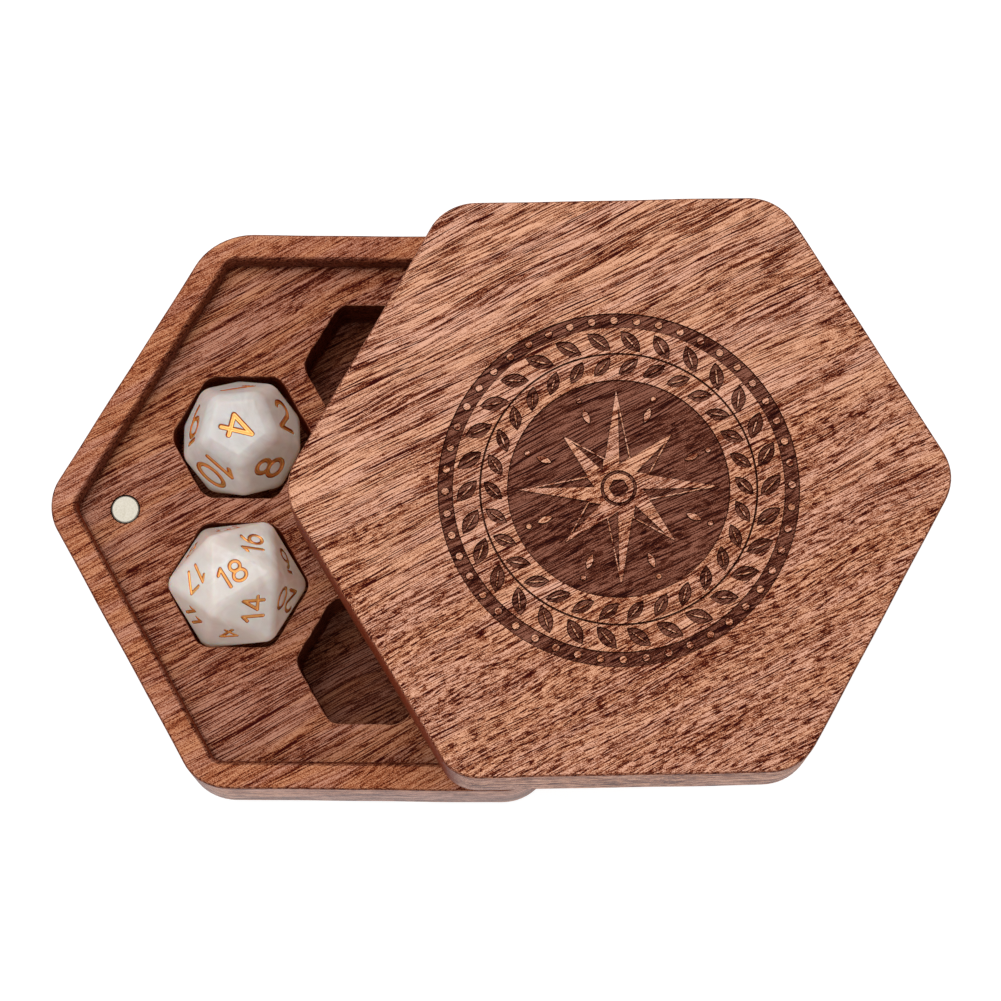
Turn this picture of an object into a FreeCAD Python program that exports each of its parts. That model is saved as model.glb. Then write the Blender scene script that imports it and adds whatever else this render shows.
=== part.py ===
"""Hexagonal wooden dice chest: a stepped tray with seven honeycomb pockets, a lift-off lid
whose tongue drops into the tray's recess, four disc magnets and two resin dice.

All lengths are millimetres. The frame's origin is the middle of the tray's flat base, +Z is
up, and the tray's flat sides face -Y and +Y. The lid is modelled closed-side down in its own
frame, with z = 0 on its rim face, and lies moved aside on top of the tray.
"""
import FreeCAD, Part
import math
import os

import Sketcher
from FreeCAD import Placement, Rotation, Vector

doc = FreeCAD.newDocument("dice_chest")

# ---------------------------------------------------------------------------
# Driving dimensions
# ---------------------------------------------------------------------------
DRIVING_SIZES = [
    # the two wooden halves share one outline
    ("across_flats", 100.0),        # outside width between opposite flat sides
    ("outer_corner", 9.0),          # radius of the six sanded outside corners
    ("edge_ease", 0.4),             # width of the bevel sanded on every outside edge
    ("tray_height", 17.5),
    ("lid_height", 17.5),           # lid from its rim face to its top
    # stepped joint between tray and lid
    ("rim_width", 4.9),             # wall left standing round the recess
    ("recess_depth", 3.8),
    ("recess_corner", 2.2),         # radius in the corners of recess and tongue
    ("recess_round", 0.8),          # rounding along the top of the recess wall
    ("tongue_height", 3.5),
    ("tongue_gap", 0.3),            # play all round the tongue
    # honeycomb of dice pockets
    ("pocket_flats", 22.4),
    ("pocket_corner", 3.2),
    ("pocket_pitch", 26.8),         # centre of the honeycomb to each outer pocket
    ("pocket_ease", 0.3),           # width of the bevel round a pocket's mouth
    ("tray_pocket_depth", 10.2),    # below the recess floor
    ("lid_pocket_depth", 13.0),     # above the tongue face
    # closing magnets
    ("magnet_diameter", 4.9),
    ("magnet_thickness", 2.0),
    ("magnet_ease", 0.2),           # width of the bevel on both ends of a magnet
    ("magnet_glue_gap", 0.2),       # glue line round a magnet in its hole
    ("magnet_inset", 12.74),        # pointed end of the half to the magnet's centre
    # dice, measured between opposite faces
    ("twenty_sided_height", 20.3),
    ("twenty_sided_round", 2.6),
    ("twenty_sided_turn", 62.5),      # degrees about Z
    ("twelve_sided_height", 18.5),
    ("twelve_sided_round", 2.9),
    ("twelve_sided_turn", 23.0),      # degrees about Z
    ("die_play_used", 0.12),        # how far a die has slid in its pocket
    # where the lid lies on the tray
    ("lid_aside_x", 43.2),
    ("lid_aside_y", 0.35),
    ("lid_aside_turn", 1.69),       # degrees about Z
]

sheet = doc.addObject("Spreadsheet::Sheet", "Sizes")
for row, (alias, value) in enumerate(DRIVING_SIZES, start=1):
    sheet.set(f"A{row}", alias)
    sheet.set(f"B{row}", str(value))
    sheet.setAlias(f"B{row}", alias)
doc.recompute()


def size(alias):
    """The value of one driving dimension as a plain number."""
    return float(sheet.get(alias))


# ---------------------------------------------------------------------------
# Sketches
# ---------------------------------------------------------------------------
SIDES = 6
SIDE_TURN = 360 / SIDES


def origin_feature(body, role):
    """A plane or axis of the body's own origin."""
    return next(item for item in body.Origin.OriginFeatures if item.Role == role)


def new_sketch(body, name, level="0"):
    """A sketch on the body's XY plane, raised to the height that the expression gives."""
    sketch = body.newObject("Sketcher::SketchObject", name)
    sketch.AttachmentSupport = [(origin_feature(body, "XY_Plane"), "")]
    sketch.MapMode = "FlatFace"
    sketch.setExpression("AttachmentOffset.Base.z", level)
    return sketch


def bind(sketch, constraint, expression):
    """Adds a constraint whose value follows an expression."""
    index = sketch.addConstraint(constraint)
    sketch.setExpression(f"Constraints[{index}]", expression)


def rounded_hexagon(sketch, flats, corner, pitch=None):
    """Draws a hexagon with rounded corners and its flat sides facing -Y and +Y.

    flats and corner are expressions for the width between flats and the corner radius. The
    hexagon is centred on the origin, or on the Y axis at the distance that pitch gives.
    """
    half = float(sketch.evalExpression(f"({flats}) / 2"))
    radius = float(sketch.evalExpression(corner))
    offset = float(sketch.evalExpression(pitch)) if pitch else 0.0
    corner_reach = (half - radius) / math.cos(math.radians(SIDE_TURN / 2))

    def at(reach, angle):
        turn = math.radians(angle)
        return Vector(reach * math.cos(turn), offset + reach * math.sin(turn), 0)

    arcs = []
    for k in range(SIDES):
        circle = Part.Circle(at(corner_reach, SIDE_TURN * k), Vector(0, 0, 1), radius)
        begin = math.radians(SIDE_TURN * (k - 0.5))
        end = math.radians(SIDE_TURN * (k + 0.5))
        arcs.append(sketch.addGeometry(Part.ArcOfCircle(circle, begin, end)))
    lines = []
    for k in range(SIDES):
        start = sketch.getPoint(arcs[k], 2)
        finish = sketch.getPoint(arcs[(k + 1) % SIDES], 1)
        lines.append(sketch.addGeometry(Part.LineSegment(start, finish)))

    centre = (-1, 1)
    if pitch:
        point = sketch.addGeometry(Part.Point(Vector(0, offset, 0)), True)
        centre = (point, 1)
        sketch.addConstraint(Sketcher.Constraint("PointOnObject", point, 1, -2))
        bind(sketch, Sketcher.Constraint("DistanceY", -1, 1, point, 1, offset), pitch)

    for k in range(SIDES):
        following = arcs[(k + 1) % SIDES]
        sketch.addConstraint(Sketcher.Constraint("Tangent", arcs[k], 2, lines[k], 1))
        sketch.addConstraint(Sketcher.Constraint("Tangent", lines[k], 2, following, 1))
        segment = sketch.Geometry[lines[k]]
        run = segment.EndPoint - segment.StartPoint
        if abs(run.y) < abs(run.x) / 10:
            sketch.addConstraint(Sketcher.Constraint("Horizontal", lines[k]))
        else:
            slope = math.atan2(run.y, run.x)
            sketch.addConstraint(Sketcher.Constraint("Angle", lines[k], slope))
        bind(sketch, Sketcher.Constraint("Distance", *centre, lines[k], half), f"({flats}) / 2")
        if k:
            sketch.addConstraint(Sketcher.Constraint("Equal", arcs[0], arcs[k]))
    bind(sketch, Sketcher.Constraint("Radius", arcs[0], radius), corner)


# From the middle of a half to its pointed end, and to the magnet's centre.
END_REACH = "(Sizes.across_flats / 2 - Sizes.outer_corner) / cos(30 deg) + Sizes.outer_corner"
MAGNET_REACH = f"{END_REACH} - Sizes.magnet_inset"


def magnet_circles(sketch):
    """Draws the two magnet holes on the X axis, one near each pointed end of the half."""
    hole = "Sizes.magnet_diameter / 2 + Sizes.magnet_glue_gap"
    radius = float(sketch.evalExpression(hole))
    reach = float(sketch.evalExpression(MAGNET_REACH))
    for side in (-1, 1):
        circle = Part.Circle(Vector(side * reach, 0, 0), Vector(0, 0, 1), radius)
        index = sketch.addGeometry(circle)
        sketch.addConstraint(Sketcher.Constraint("PointOnObject", index, 3, -1))
        span = Sketcher.Constraint("DistanceX", -1, 1, index, 3, side * reach)
        bind(sketch, span, f"{side} * ({MAGNET_REACH})")
        bind(sketch, Sketcher.Constraint("Radius", index, radius), hole)


# ---------------------------------------------------------------------------
# Features
# ---------------------------------------------------------------------------
def pad(body, sketch, length, downward=False):
    """Raises a sketch into wood, upwards unless told otherwise."""
    feature = body.newObject("PartDesign::Pad", f"{sketch.Name}_pad")
    feature.Profile = sketch
    feature.Reversed = downward
    feature.setExpression("Length", length)
    doc.recompute()
    return feature


def mill(body, sketch, depth, upward=False):
    """Mills a sketch out of the wood, downwards unless told otherwise."""
    before = body.Shape.Volume
    feature = body.newObject("PartDesign::Pocket", f"{sketch.Name}_cut")
    feature.Profile = sketch
    feature.Reversed = upward
    feature.setExpression("Length", depth)
    doc.recompute()
    if not body.Shape.Volume < before:
        raise RuntimeError(f"{feature.Name} cut nothing")
    return feature


def pattern_round_axis(body, feature, count):
    """Repeats a cut evenly round the body's vertical axis."""
    pattern = body.newObject("PartDesign::PolarPattern", f"{feature.Name}_ring")
    pattern.Originals = [feature]
    pattern.Axis = (origin_feature(body, "Z_Axis"), [""])
    pattern.Angle = 360
    pattern.Occurrences = count
    body.Tip = pattern
    doc.recompute()
    return pattern


def level_faces(body, level, facing):
    """The flat faces of a body at one height that face up (1) or down (-1)."""
    found = []
    for face in body.Tip.Shape.Faces:
        flat = isinstance(face.Surface, Part.Plane) and face.BoundBox.ZLength < 1e-6
        if flat and abs(face.BoundBox.ZMin - level) < 1e-6 and face.normalAt(0, 0).z * facing > 0:
            found.append(face)
    return found


def edge_names(shape, wires):
    """The names that the shape gives to the edges of some wires."""
    wanted = [edge for wire in wires for edge in wire.Edges]
    names = []
    for number, edge in enumerate(shape.Edges, start=1):
        if any(edge.isSame(other) for other in wanted):
            names.append(f"Edge{number}")
    return names


def round_edges(body, name, wires, radius):
    """Rounds every edge of some wires of the body's present shape."""
    base = body.Tip
    fillet = body.newObject("PartDesign::Fillet", name)
    fillet.Base = (base, edge_names(base.Shape, wires))
    fillet.setExpression("Radius", radius)
    doc.recompute()


def bevel_edges(body, name, wires, width):
    """Bevels every edge of some wires of the body's present shape at 45 degrees."""
    base = body.Tip
    chamfer = body.newObject("PartDesign::Chamfer", name)
    chamfer.Base = (base, edge_names(base.Shape, wires))
    chamfer.setExpression("Size", width)
    doc.recompute()


def outer_wires(faces):
    return [face.OuterWire for face in faces]


def hole_wires(faces, shortest):
    """The inner wires of some faces that are longer round than the given length."""
    found = []
    for face in faces:
        for wire in face.Wires:
            if not wire.isSame(face.OuterWire) and wire.Length > shortest:
                found.append(wire)
    return found


def honeycomb(body, level, depth, upward):
    """Mills the middle pocket and the ring of six round it."""
    middle = new_sketch(body, f"{body.Name}_middle_pocket", level)
    rounded_hexagon(middle, "Sizes.pocket_flats", "Sizes.pocket_corner")
    mill(body, middle, depth, upward)
    outer = new_sketch(body, f"{body.Name}_outer_pocket", level)
    rounded_hexagon(outer, "Sizes.pocket_flats", "Sizes.pocket_corner", "Sizes.pocket_pitch")
    first = mill(body, outer, depth, upward)
    pattern_round_axis(body, first, SIDES)


def magnet_holes(body, level, upward):
    """Mills the two blind magnet holes, as deep as a magnet is thick."""
    holes = new_sketch(body, f"{body.Name}_magnet_holes", level)
    magnet_circles(holes)
    mill(body, holes, "Sizes.magnet_thickness", upward)


# A pocket's rim is longer round than this, and a magnet hole's is shorter.
POCKET_RIM_AT_LEAST = 2 * size("pocket_flats")
RECESS_FLATS = "Sizes.across_flats - 2 * Sizes.rim_width"

# ---------------------------------------------------------------------------
# Tray: one block of wood with a shallow hexagonal recess and seven pockets in its floor
# ---------------------------------------------------------------------------
tray = doc.addObject("PartDesign::Body", "tray")
tray.Label = "tray"

tray_outline = new_sketch(tray, "tray_outline")
rounded_hexagon(tray_outline, "Sizes.across_flats", "Sizes.outer_corner")
pad(tray, tray_outline, "Sizes.tray_height")

tray_recess = new_sketch(tray, "tray_recess", "Sizes.tray_height")
rounded_hexagon(tray_recess, RECESS_FLATS, "Sizes.recess_corner")
mill(tray, tray_recess, "Sizes.recess_depth")

RECESS_FLOOR = "Sizes.tray_height - Sizes.recess_depth"
recess_floor = size("tray_height") - size("recess_depth")
honeycomb(tray, RECESS_FLOOR, "Sizes.tray_pocket_depth", upward=False)
magnet_holes(tray, RECESS_FLOOR, upward=False)

floor_faces = level_faces(tray, recess_floor, 1)
pocket_mouths = hole_wires(floor_faces, POCKET_RIM_AT_LEAST)
bevel_edges(tray, "tray_pocket_bevels", pocket_mouths, "Sizes.pocket_ease")
rim_faces = level_faces(tray, size("tray_height"), 1)
round_edges(tray, "tray_recess_round", hole_wires(rim_faces, 0), "Sizes.recess_round")
outside = outer_wires(level_faces(tray, size("tray_height"), 1))
outside += outer_wires(level_faces(tray, 0, -1))
bevel_edges(tray, "tray_outside_bevels", outside, "Sizes.edge_ease")

# ---------------------------------------------------------------------------
# Lid: the same outline with a tongue below its rim face, and seven pockets over the tray's
# ---------------------------------------------------------------------------
lid = doc.addObject("PartDesign::Body", "lid")
lid.Label = "lid"

lid_outline = new_sketch(lid, "lid_outline")
rounded_hexagon(lid_outline, "Sizes.across_flats", "Sizes.outer_corner")
pad(lid, lid_outline, "Sizes.lid_height")

lid_tongue = new_sketch(lid, "lid_tongue")
rounded_hexagon(lid_tongue, f"{RECESS_FLATS} - 2 * Sizes.tongue_gap", "Sizes.recess_corner")
pad(lid, lid_tongue, "Sizes.tongue_height", downward=True)

TONGUE_FACE = "-Sizes.tongue_height"
tongue_face = -size("tongue_height")
honeycomb(lid, TONGUE_FACE, "Sizes.lid_pocket_depth", upward=True)
magnet_holes(lid, TONGUE_FACE, upward=True)

tongue_faces = level_faces(lid, tongue_face, -1)
pocket_mouths = hole_wires(tongue_faces, POCKET_RIM_AT_LEAST)
bevel_edges(lid, "lid_pocket_bevels", pocket_mouths, "Sizes.pocket_ease")
outside = outer_wires(level_faces(lid, size("lid_height"), 1))
outside += outer_wires(level_faces(lid, 0, -1))
outside += outer_wires(level_faces(lid, tongue_face, -1))
bevel_edges(lid, "lid_outside_bevels", outside, "Sizes.edge_ease")

# The lid lies on the tray's rim on its tongue face, slid aside and turned a little.
LID_PLACE = {
    "x": "Sizes.lid_aside_x",
    "y": "Sizes.lid_aside_y",
    "z": "Sizes.tray_height + Sizes.tongue_height",
}
for axis, place in LID_PLACE.items():
    lid.setExpression(f"Placement.Base.{axis}", place)
lid.setExpression("Placement.Rotation.Angle", "Sizes.lid_aside_turn")


# ---------------------------------------------------------------------------
# Magnets: nickel-plated discs glued into blind holes, flush with the wood
# ---------------------------------------------------------------------------
def magnet(label):
    """A disc with bevelled ends, standing on z = 0 in its own frame."""
    body = doc.addObject("PartDesign::Body", label)
    body.Label = label
    disc = new_sketch(body, f"{label}_disc")
    radius = size("magnet_diameter") / 2
    circle = disc.addGeometry(Part.Circle(Vector(0, 0, 0), Vector(0, 0, 1), radius))
    disc.addConstraint(Sketcher.Constraint("Coincident", circle, 3, -1, 1))
    bind(disc, Sketcher.Constraint("Radius", circle, radius), "Sizes.magnet_diameter / 2")
    pad(body, disc, "Sizes.magnet_thickness")
    ends = outer_wires(level_faces(body, 0, -1))
    ends += outer_wires(level_faces(body, size("magnet_thickness"), 1))
    bevel_edges(body, f"{label}_bevels", ends, "Sizes.magnet_ease")
    return body


for name, side in (("left", -1), ("right", 1)):
    disc = magnet(f"tray_magnet_{name}")
    disc.setExpression("Placement.Base.x", f"{side} * ({MAGNET_REACH})")
    disc.setExpression("Placement.Base.z", f"{RECESS_FLOOR} - Sizes.magnet_thickness")

for name, side in (("left", -1), ("right", 1)):
    disc = magnet(f"lid_magnet_{name}")
    reach = f"{side} * ({MAGNET_REACH})"
    turn = "Sizes.lid_aside_turn * 1 deg"
    disc.setExpression("Placement.Base.x", f"{LID_PLACE['x']} + {reach} * cos({turn})")
    disc.setExpression("Placement.Base.y", f"{LID_PLACE['y']} + {reach} * sin({turn})")
    disc.setExpression("Placement.Base.z", f"{LID_PLACE['z']} - Sizes.tongue_height")

# ---------------------------------------------------------------------------
# Dice: regular solids with rounded edges and corners, lying on one face in a pocket
# ---------------------------------------------------------------------------
# A face direction is (angle from +Z, angle about Z); the face opposite to it comes with it.
TWELVE_FACE_PAIRS = [(0.0, 0.0)]
TWELVE_FACE_PAIRS += [(math.degrees(math.atan(2)), 72 * k) for k in range(5)]

NEXT_FACE = math.degrees(math.acos(math.sqrt(5) / 3))      # tilt of the faces round the top
MIDDLE_FACE = math.degrees(math.acos(1 / 3))               # tilt of the six below them
MIDDLE_SPREAD = math.degrees(math.acos(math.sqrt(5 / 8)))  # how far those stand to each side
TWENTY_FACE_PAIRS = [(0.0, 0.0)]
TWENTY_FACE_PAIRS += [(NEXT_FACE, 120 * k) for k in range(3)]
for k in range(3):
    TWENTY_FACE_PAIRS.append((MIDDLE_FACE, 120 * k - MIDDLE_SPREAD))
    TWENTY_FACE_PAIRS.append((MIDDLE_FACE, 120 * k + MIDDLE_SPREAD))


def slab(thickness, tilt, turn):
    """A wide plate centred on the origin, its two faces square to one face direction."""
    width = 3 * thickness
    plate = Part.makeBox(width, width, thickness, Vector(-width / 2, -width / 2, -thickness / 2))
    lean = Rotation(Vector(0, 1, 0), tilt)
    spin = Rotation(Vector(0, 0, 1), turn)
    plate.Placement = Placement(Vector(0, 0, 0), spin.multiply(lean))
    return plate


def die(kind, face_pairs):
    """A rounded regular solid: a smaller sharp one, grown outwards by its corner radius."""
    height = size(f"{kind}_height")
    rounding = size(f"{kind}_round")
    sharp = slab(height - 2 * rounding, *face_pairs[0])
    for pair in face_pairs[1:]:
        sharp = sharp.common(slab(height - 2 * rounding, *pair))
    feature = doc.addObject("Part::Feature", f"{kind}_die")
    feature.Label = f"{kind}_die"
    feature.Shape = Part.Solid(sharp.Solids[0]).makeOffsetShape(rounding, 1e-4)
    return feature


def pocket_centre(angle):
    """The centre of the outer pocket in the direction of an angle about Z."""
    reach = size("pocket_pitch")
    turn = math.radians(angle)
    return Vector(reach * math.cos(turn), reach * math.sin(turn), 0)


POCKET_FLOOR = recess_floor - size("tray_pocket_depth")
for kind, face_pairs, pocket_angle in (
        ("twelve_sided", TWELVE_FACE_PAIRS, 150),
        ("twenty_sided", TWENTY_FACE_PAIRS, 210)):
    solid = die(kind, face_pairs)
    slid = Vector(-size("die_play_used"), 0, 0)
    middle = Vector(0, 0, POCKET_FLOOR + size(f"{kind}_height") / 2)
    turn = Rotation(Vector(0, 0, 1), size(f"{kind}_turn"))
    solid.Placement = Placement(pocket_centre(pocket_angle) + slid + middle, turn)

# ---------------------------------------------------------------------------
# Check and write
# ---------------------------------------------------------------------------
doc.recompute()
for item in doc.Objects:
    if "Invalid" in item.State or "Error" in item.State:
        raise RuntimeError(f"{item.Name} failed: {item.State}")

parts = [item for item in doc.Objects if item.TypeId == "PartDesign::Body"]
parts += [item for item in doc.Objects if item.TypeId == "Part::Feature"]
os.makedirs("parts", exist_ok=True)
for item in parts:
    shape = item.Shape
    if shape.isNull() or not shape.isValid() or len(shape.Solids) != 1:
        raise RuntimeError(f"{item.Label} is not one valid solid")
    shape.exportStep(os.path.join("parts", f"{item.Label}.step"))
    box = shape.BoundBox
    print(f"{item.Label}: {shape.Volume:.1f} mm3, z {box.ZMin:.2f} to {box.ZMax:.2f}")
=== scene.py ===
"""Dressed model of a hexagonal dice chest: an oiled hardwood tray with seven honeycomb pockets,
a lift-off lid with an engraved compass medallion, nickel disc magnets and two pearl dice.

Shapes are worked out in millimetres and written to the meshes in metres.
"""

import math

import bmesh
import bpy
import numpy as np
from mathutils import Matrix, Vector
from mathutils.geometry import delaunay_2d_cdt


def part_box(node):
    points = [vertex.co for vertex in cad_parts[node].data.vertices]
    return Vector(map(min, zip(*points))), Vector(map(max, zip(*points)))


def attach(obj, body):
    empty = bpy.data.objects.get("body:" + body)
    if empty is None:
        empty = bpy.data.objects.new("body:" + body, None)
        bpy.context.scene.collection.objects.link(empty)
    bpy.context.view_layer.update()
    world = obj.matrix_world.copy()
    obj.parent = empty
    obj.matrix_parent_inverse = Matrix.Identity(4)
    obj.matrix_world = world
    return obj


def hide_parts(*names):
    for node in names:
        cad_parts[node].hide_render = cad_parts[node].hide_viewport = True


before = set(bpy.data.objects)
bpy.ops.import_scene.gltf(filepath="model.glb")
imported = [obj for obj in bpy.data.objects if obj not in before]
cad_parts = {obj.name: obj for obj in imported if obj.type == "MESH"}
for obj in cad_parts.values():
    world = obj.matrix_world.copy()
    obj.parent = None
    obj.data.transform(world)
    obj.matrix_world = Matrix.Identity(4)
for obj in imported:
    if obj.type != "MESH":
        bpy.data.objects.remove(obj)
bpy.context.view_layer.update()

# ---------------------------------------------------------------------------
# Tray: one block of reddish open-grained hardwood. Its outline, the shallow recess for the
# lid's tongue and the seven pockets are milled, then it is sanded and oiled.
# ---------------------------------------------------------------------------
MM = 0.001


def node_box(name):
    """The lowest and highest corner of a CAD node, in millimetres."""
    low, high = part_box(name)
    return np.array(low) / MM, np.array(high) / MM


TRAY_LOW, TRAY_HIGH = node_box("tray")
ACROSS_FLATS = TRAY_HIGH[1] - TRAY_LOW[1]
TRAY_TOP = TRAY_HIGH[2]
TRAY_CORNERS = (9, 9, 12, 9, 9, 9)       # the back left corner is sanded rounder
EDGE_ROUND = 0.5
RIM_WIDTH = 4.9
RECESS_FLATS = ACROSS_FLATS - 2 * RIM_WIDTH
RECESS_FLOOR = node_box("tray_magnet_left")[1][2]
RECESS_CORNER = 2.2
RECESS_ROUND = 0.8
POCKET_FLATS = 22.4
POCKET_CORNER = 3.2
POCKET_PITCH = 26.8
POCKET_EASE = 0.3
POCKET_FLOOR = node_box("twenty_sided_die")[0][2]
FLOOR_FILLET = 0.4
HOLE_RADIUS = 2.65
HOLE_DEPTH = 2.0
MARGIN = 0.4                             # flat strip kept beside every rounded edge
PAINTED_SHADOW_STRIP = 0.35                      # painted shadow strip along the foot of the recess wall

# How far hand sanding and the cutter stray from the true lines, and the seeds of the strays.
OUTLINE_WAVER, RECESS_WAVER, POCKET_WAVER = 0.12, 0.1, 0.14
OUTLINE_SEED, RECESS_SEED, TRAY_POCKET_SEED = 3, 5, 20

CORNER_STEPS = 10
SIDE_STEPS = 24
ROUND_STEPS = 4
WAVES = (5, 9, 14, 23)

# Numbers that the "finish" attribute gives to each face: from 0 on the sanded outside to 1 in the
# darkest corners inside, partly darker wood and partly painted shade, and then those of the burnt
# figures and the walls round them.
SANDED, MILLED, DEEP, WALL, DARKEST, ENGRAVED, CHARRED = 0.0, 0.14, 0.6, 0.9, 1.0, 2.0, 3.0


def hexagon(flats, corners, z, centre=(0, 0), waver=0.0, seed=0):
    """A ring of points round a hexagon with rounded corners, its flats facing -Y and +Y.

    Corner k is an arc of radius r from 60k - 30 to 60k + 30 degrees about the point at
    (flats/2 - r) / cos 30 in the direction 60k. The sides between the arcs are divided evenly.
    waver is the most by which a sum of sines of the place along the ring moves a point in.
    """
    radii = np.broadcast_to(np.asarray(corners, float), 6)[:, None]
    turn = 60 * np.arange(6)[:, None]
    reach = (flats / 2 - radii) / math.cos(math.pi / 6)
    bend = np.radians(turn + np.linspace(-30, 30, CORNER_STEPS + 1))
    x = reach * np.cos(np.radians(turn)) + radii * np.cos(bend)
    y = reach * np.sin(np.radians(turn)) + radii * np.sin(bend)
    arcs = np.stack([x, y], -1)
    share = np.linspace(0, 1, SIDE_STEPS + 1)[1:-1, None]
    sides = arcs[:, -1:] * (1 - share) + np.roll(arcs, -1, axis=0)[:, :1] * share
    ring = np.concatenate([arcs, sides], 1).reshape(-1, 2)
    if waver:
        draw = np.random.default_rng(seed)
        around = np.linspace(0, 2 * math.pi, len(ring), endpoint=False)
        wave = sum(draw.uniform(0.3, 1) * np.sin(n * around + draw.uniform(0, 6)) for n in WAVES)
        ring = ring * (1 - 2 * waver / flats * (wave - wave.min()) / np.ptp(wave))[:, None]
    return np.column_stack([ring + centre, np.full(len(ring), float(z))])


def circle(radius, z=0.0, steps=64, centre=(0, 0)):
    """A ring of points: the centre plus radius times (cos a, sin a), for a in even steps."""
    a = np.linspace(0, 2 * math.pi, steps, endpoint=False)
    x, y = centre[0] + radius * np.cos(a), centre[1] + radius * np.sin(a)
    return np.column_stack([x, y, np.full(steps, float(z))])


def quarter_round(radius):
    """Pairs (u, v) along a rounded edge, from the flat (u = radius) to the wall (v = radius).

    u = radius (1 - sin a) is the distance from the wall's plane and v = radius (1 - cos a) the
    distance from the flat's plane, for a from 0 to 90 degrees.
    """
    a = np.linspace(0, math.pi / 2, ROUND_STEPS + 1)
    return list(zip(radius * (1 - np.sin(a)), radius * (1 - np.cos(a))))


class Skin:
    """Gathers surfaces, each with one finish for its faces, and welds them into one piece."""

    def __init__(self):
        self.points, self.faces, self.finish = [], [], []

    def add(self, points, faces, finish):
        start = sum(map(len, self.points))
        self.points.append(np.asarray(points, float))
        self.faces += [[start + i for i in face] for face in faces]
        self.finish += [finish] * len(faces)

    def wrap(self, rings, finish):
        """Joins rings of equal length, one after another, with a closed strip of quads each."""
        count = len(rings[0])
        here = np.arange(count)
        ahead = np.roll(here, -1)
        strip = np.stack([here, ahead, ahead + count, here + count], 1)
        faces = np.concatenate([strip + count * n for n in range(len(rings) - 1)])
        self.add(np.concatenate(rings), faces.tolist(), finish)

    def cap(self, ring, finish):
        """Closes a flat convex ring with one face."""
        self.add(ring, [list(range(len(ring)))], finish)

    def plate(self, outline, holes, finish):
        """Fills the flat space inside an outline and outside its holes with triangles."""
        points, triangles, owners = triangulate([outline] + holes)
        kept = [face for face, inside in zip(triangles, owners) if inside == [0]]
        self.add(np.column_stack([points, np.full(len(points), outline[0][2])]), kept, finish)

    def piece(self, name, place=None, sharp=32):
        """The welded mesh as an object, smooth wherever it bends by less than sharp degrees."""
        mesh = bpy.data.meshes.new(name)
        mesh.from_pydata((np.concatenate(self.points) * MM).tolist(), [], self.faces)
        finish = mesh.attributes.new("finish", "FLOAT", "FACE")
        finish.data.foreach_set("value", self.finish)
        if place is not None:
            mesh.transform(place)
        return weld(name, mesh, sharp)


def triangulate(loops):
    """Triangles over closed loops, each with the numbers of the loops that it lies inside."""
    flat = [Vector(point[:2]) for loop in loops for point in loop]
    starts = np.cumsum([0] + [len(loop) for loop in loops])
    polygons = [list(range(a, b)) for a, b in zip(starts, starts[1:])]
    points, _, triangles, _, _, owners = delaunay_2d_cdt(flat, [], polygons, 1, 1e-5)
    return np.array([tuple(p) for p in points]), triangles, owners


def weld(name, mesh, sharp):
    """Merges doubles, turns the faces outward, sets the shading and makes the object."""
    work = bmesh.new()
    work.from_mesh(mesh)
    bmesh.ops.remove_doubles(work, verts=work.verts, dist=2e-6)
    bmesh.ops.recalc_face_normals(work, faces=work.faces)
    work.to_mesh(mesh)
    work.free()
    mesh.shade_smooth()
    mesh.set_sharp_from_angle(angle=math.radians(sharp))
    piece = bpy.data.objects.new(name, mesh)
    bpy.context.scene.collection.objects.link(piece)
    return piece


def honeycomb_centres():
    """The middle of the half and the six pockets round it, the first at 30 degrees."""
    turn = np.radians(30 + 60 * np.arange(6))
    ring = POCKET_PITCH * np.column_stack([np.cos(turn), np.sin(turn)])
    return np.vstack([[0, 0], ring])


def pocket(skin, centre, mouth, depth, down, seed):
    """One honeycomb pocket, and the ring at which it meets the flat round its mouth.

    The profile is a quarter round from the flat, a straight wall and a small fillet to the
    floor. down is -1 where the pocket sinks and 1 where it rises.
    """
    def ring(grow, z):
        flats = POCKET_FLATS + 2 * grow
        return hexagon(flats, POCKET_CORNER + grow, z, centre, POCKET_WAVER, seed)

    floor = mouth + down * depth
    lip = [ring(u, mouth + down * v) for u, v in quarter_round(POCKET_EASE)]
    foot = [ring(-v, floor - down * u) for u, v in quarter_round(FLOOR_FILLET)]
    # The walls and floor are darker than the lip: darker wood and painted shade together.
    skin.wrap(lip, MILLED)
    skin.wrap([lip[-1], foot[0]], DARKEST)
    skin.wrap(foot, DARKEST)
    skin.cap(foot[-1], DEEP)
    return lip[0]


def magnet_hole(skin, centre, mouth, down):
    """A blind round hole, and its edge on the flat."""
    edge = circle(HOLE_RADIUS, mouth, centre=centre)
    bottom = circle(HOLE_RADIUS, mouth + down * HOLE_DEPTH, centre=centre)
    skin.wrap([edge, bottom], DARKEST)
    skin.cap(bottom, DARKEST)
    return edge


def outer_ring(inset, z, corners):
    """The half's sanded outline, moved in by inset."""
    radii = np.array(corners) - inset
    return hexagon(ACROSS_FLATS - 2 * inset, radii, z, waver=OUTLINE_WAVER, seed=OUTLINE_SEED)


def sides_of(skin, bottom_edge, top_edge):
    """The outside of a half between two rounded edges, whose outermost strips are darker."""
    skin.wrap(bottom_edge[:3], SANDED)
    skin.wrap(bottom_edge[2:], DARKEST)
    skin.wrap([bottom_edge[-1], top_edge[0]], SANDED)
    skin.wrap(top_edge[:2], WALL)
    skin.wrap(top_edge[1:4], DEEP)
    skin.wrap(top_edge[3:], SANDED)


tray_left, tray_right = (sum(node_box(f"tray_magnet_{side}")) / 2 for side in ("left", "right"))

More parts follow.
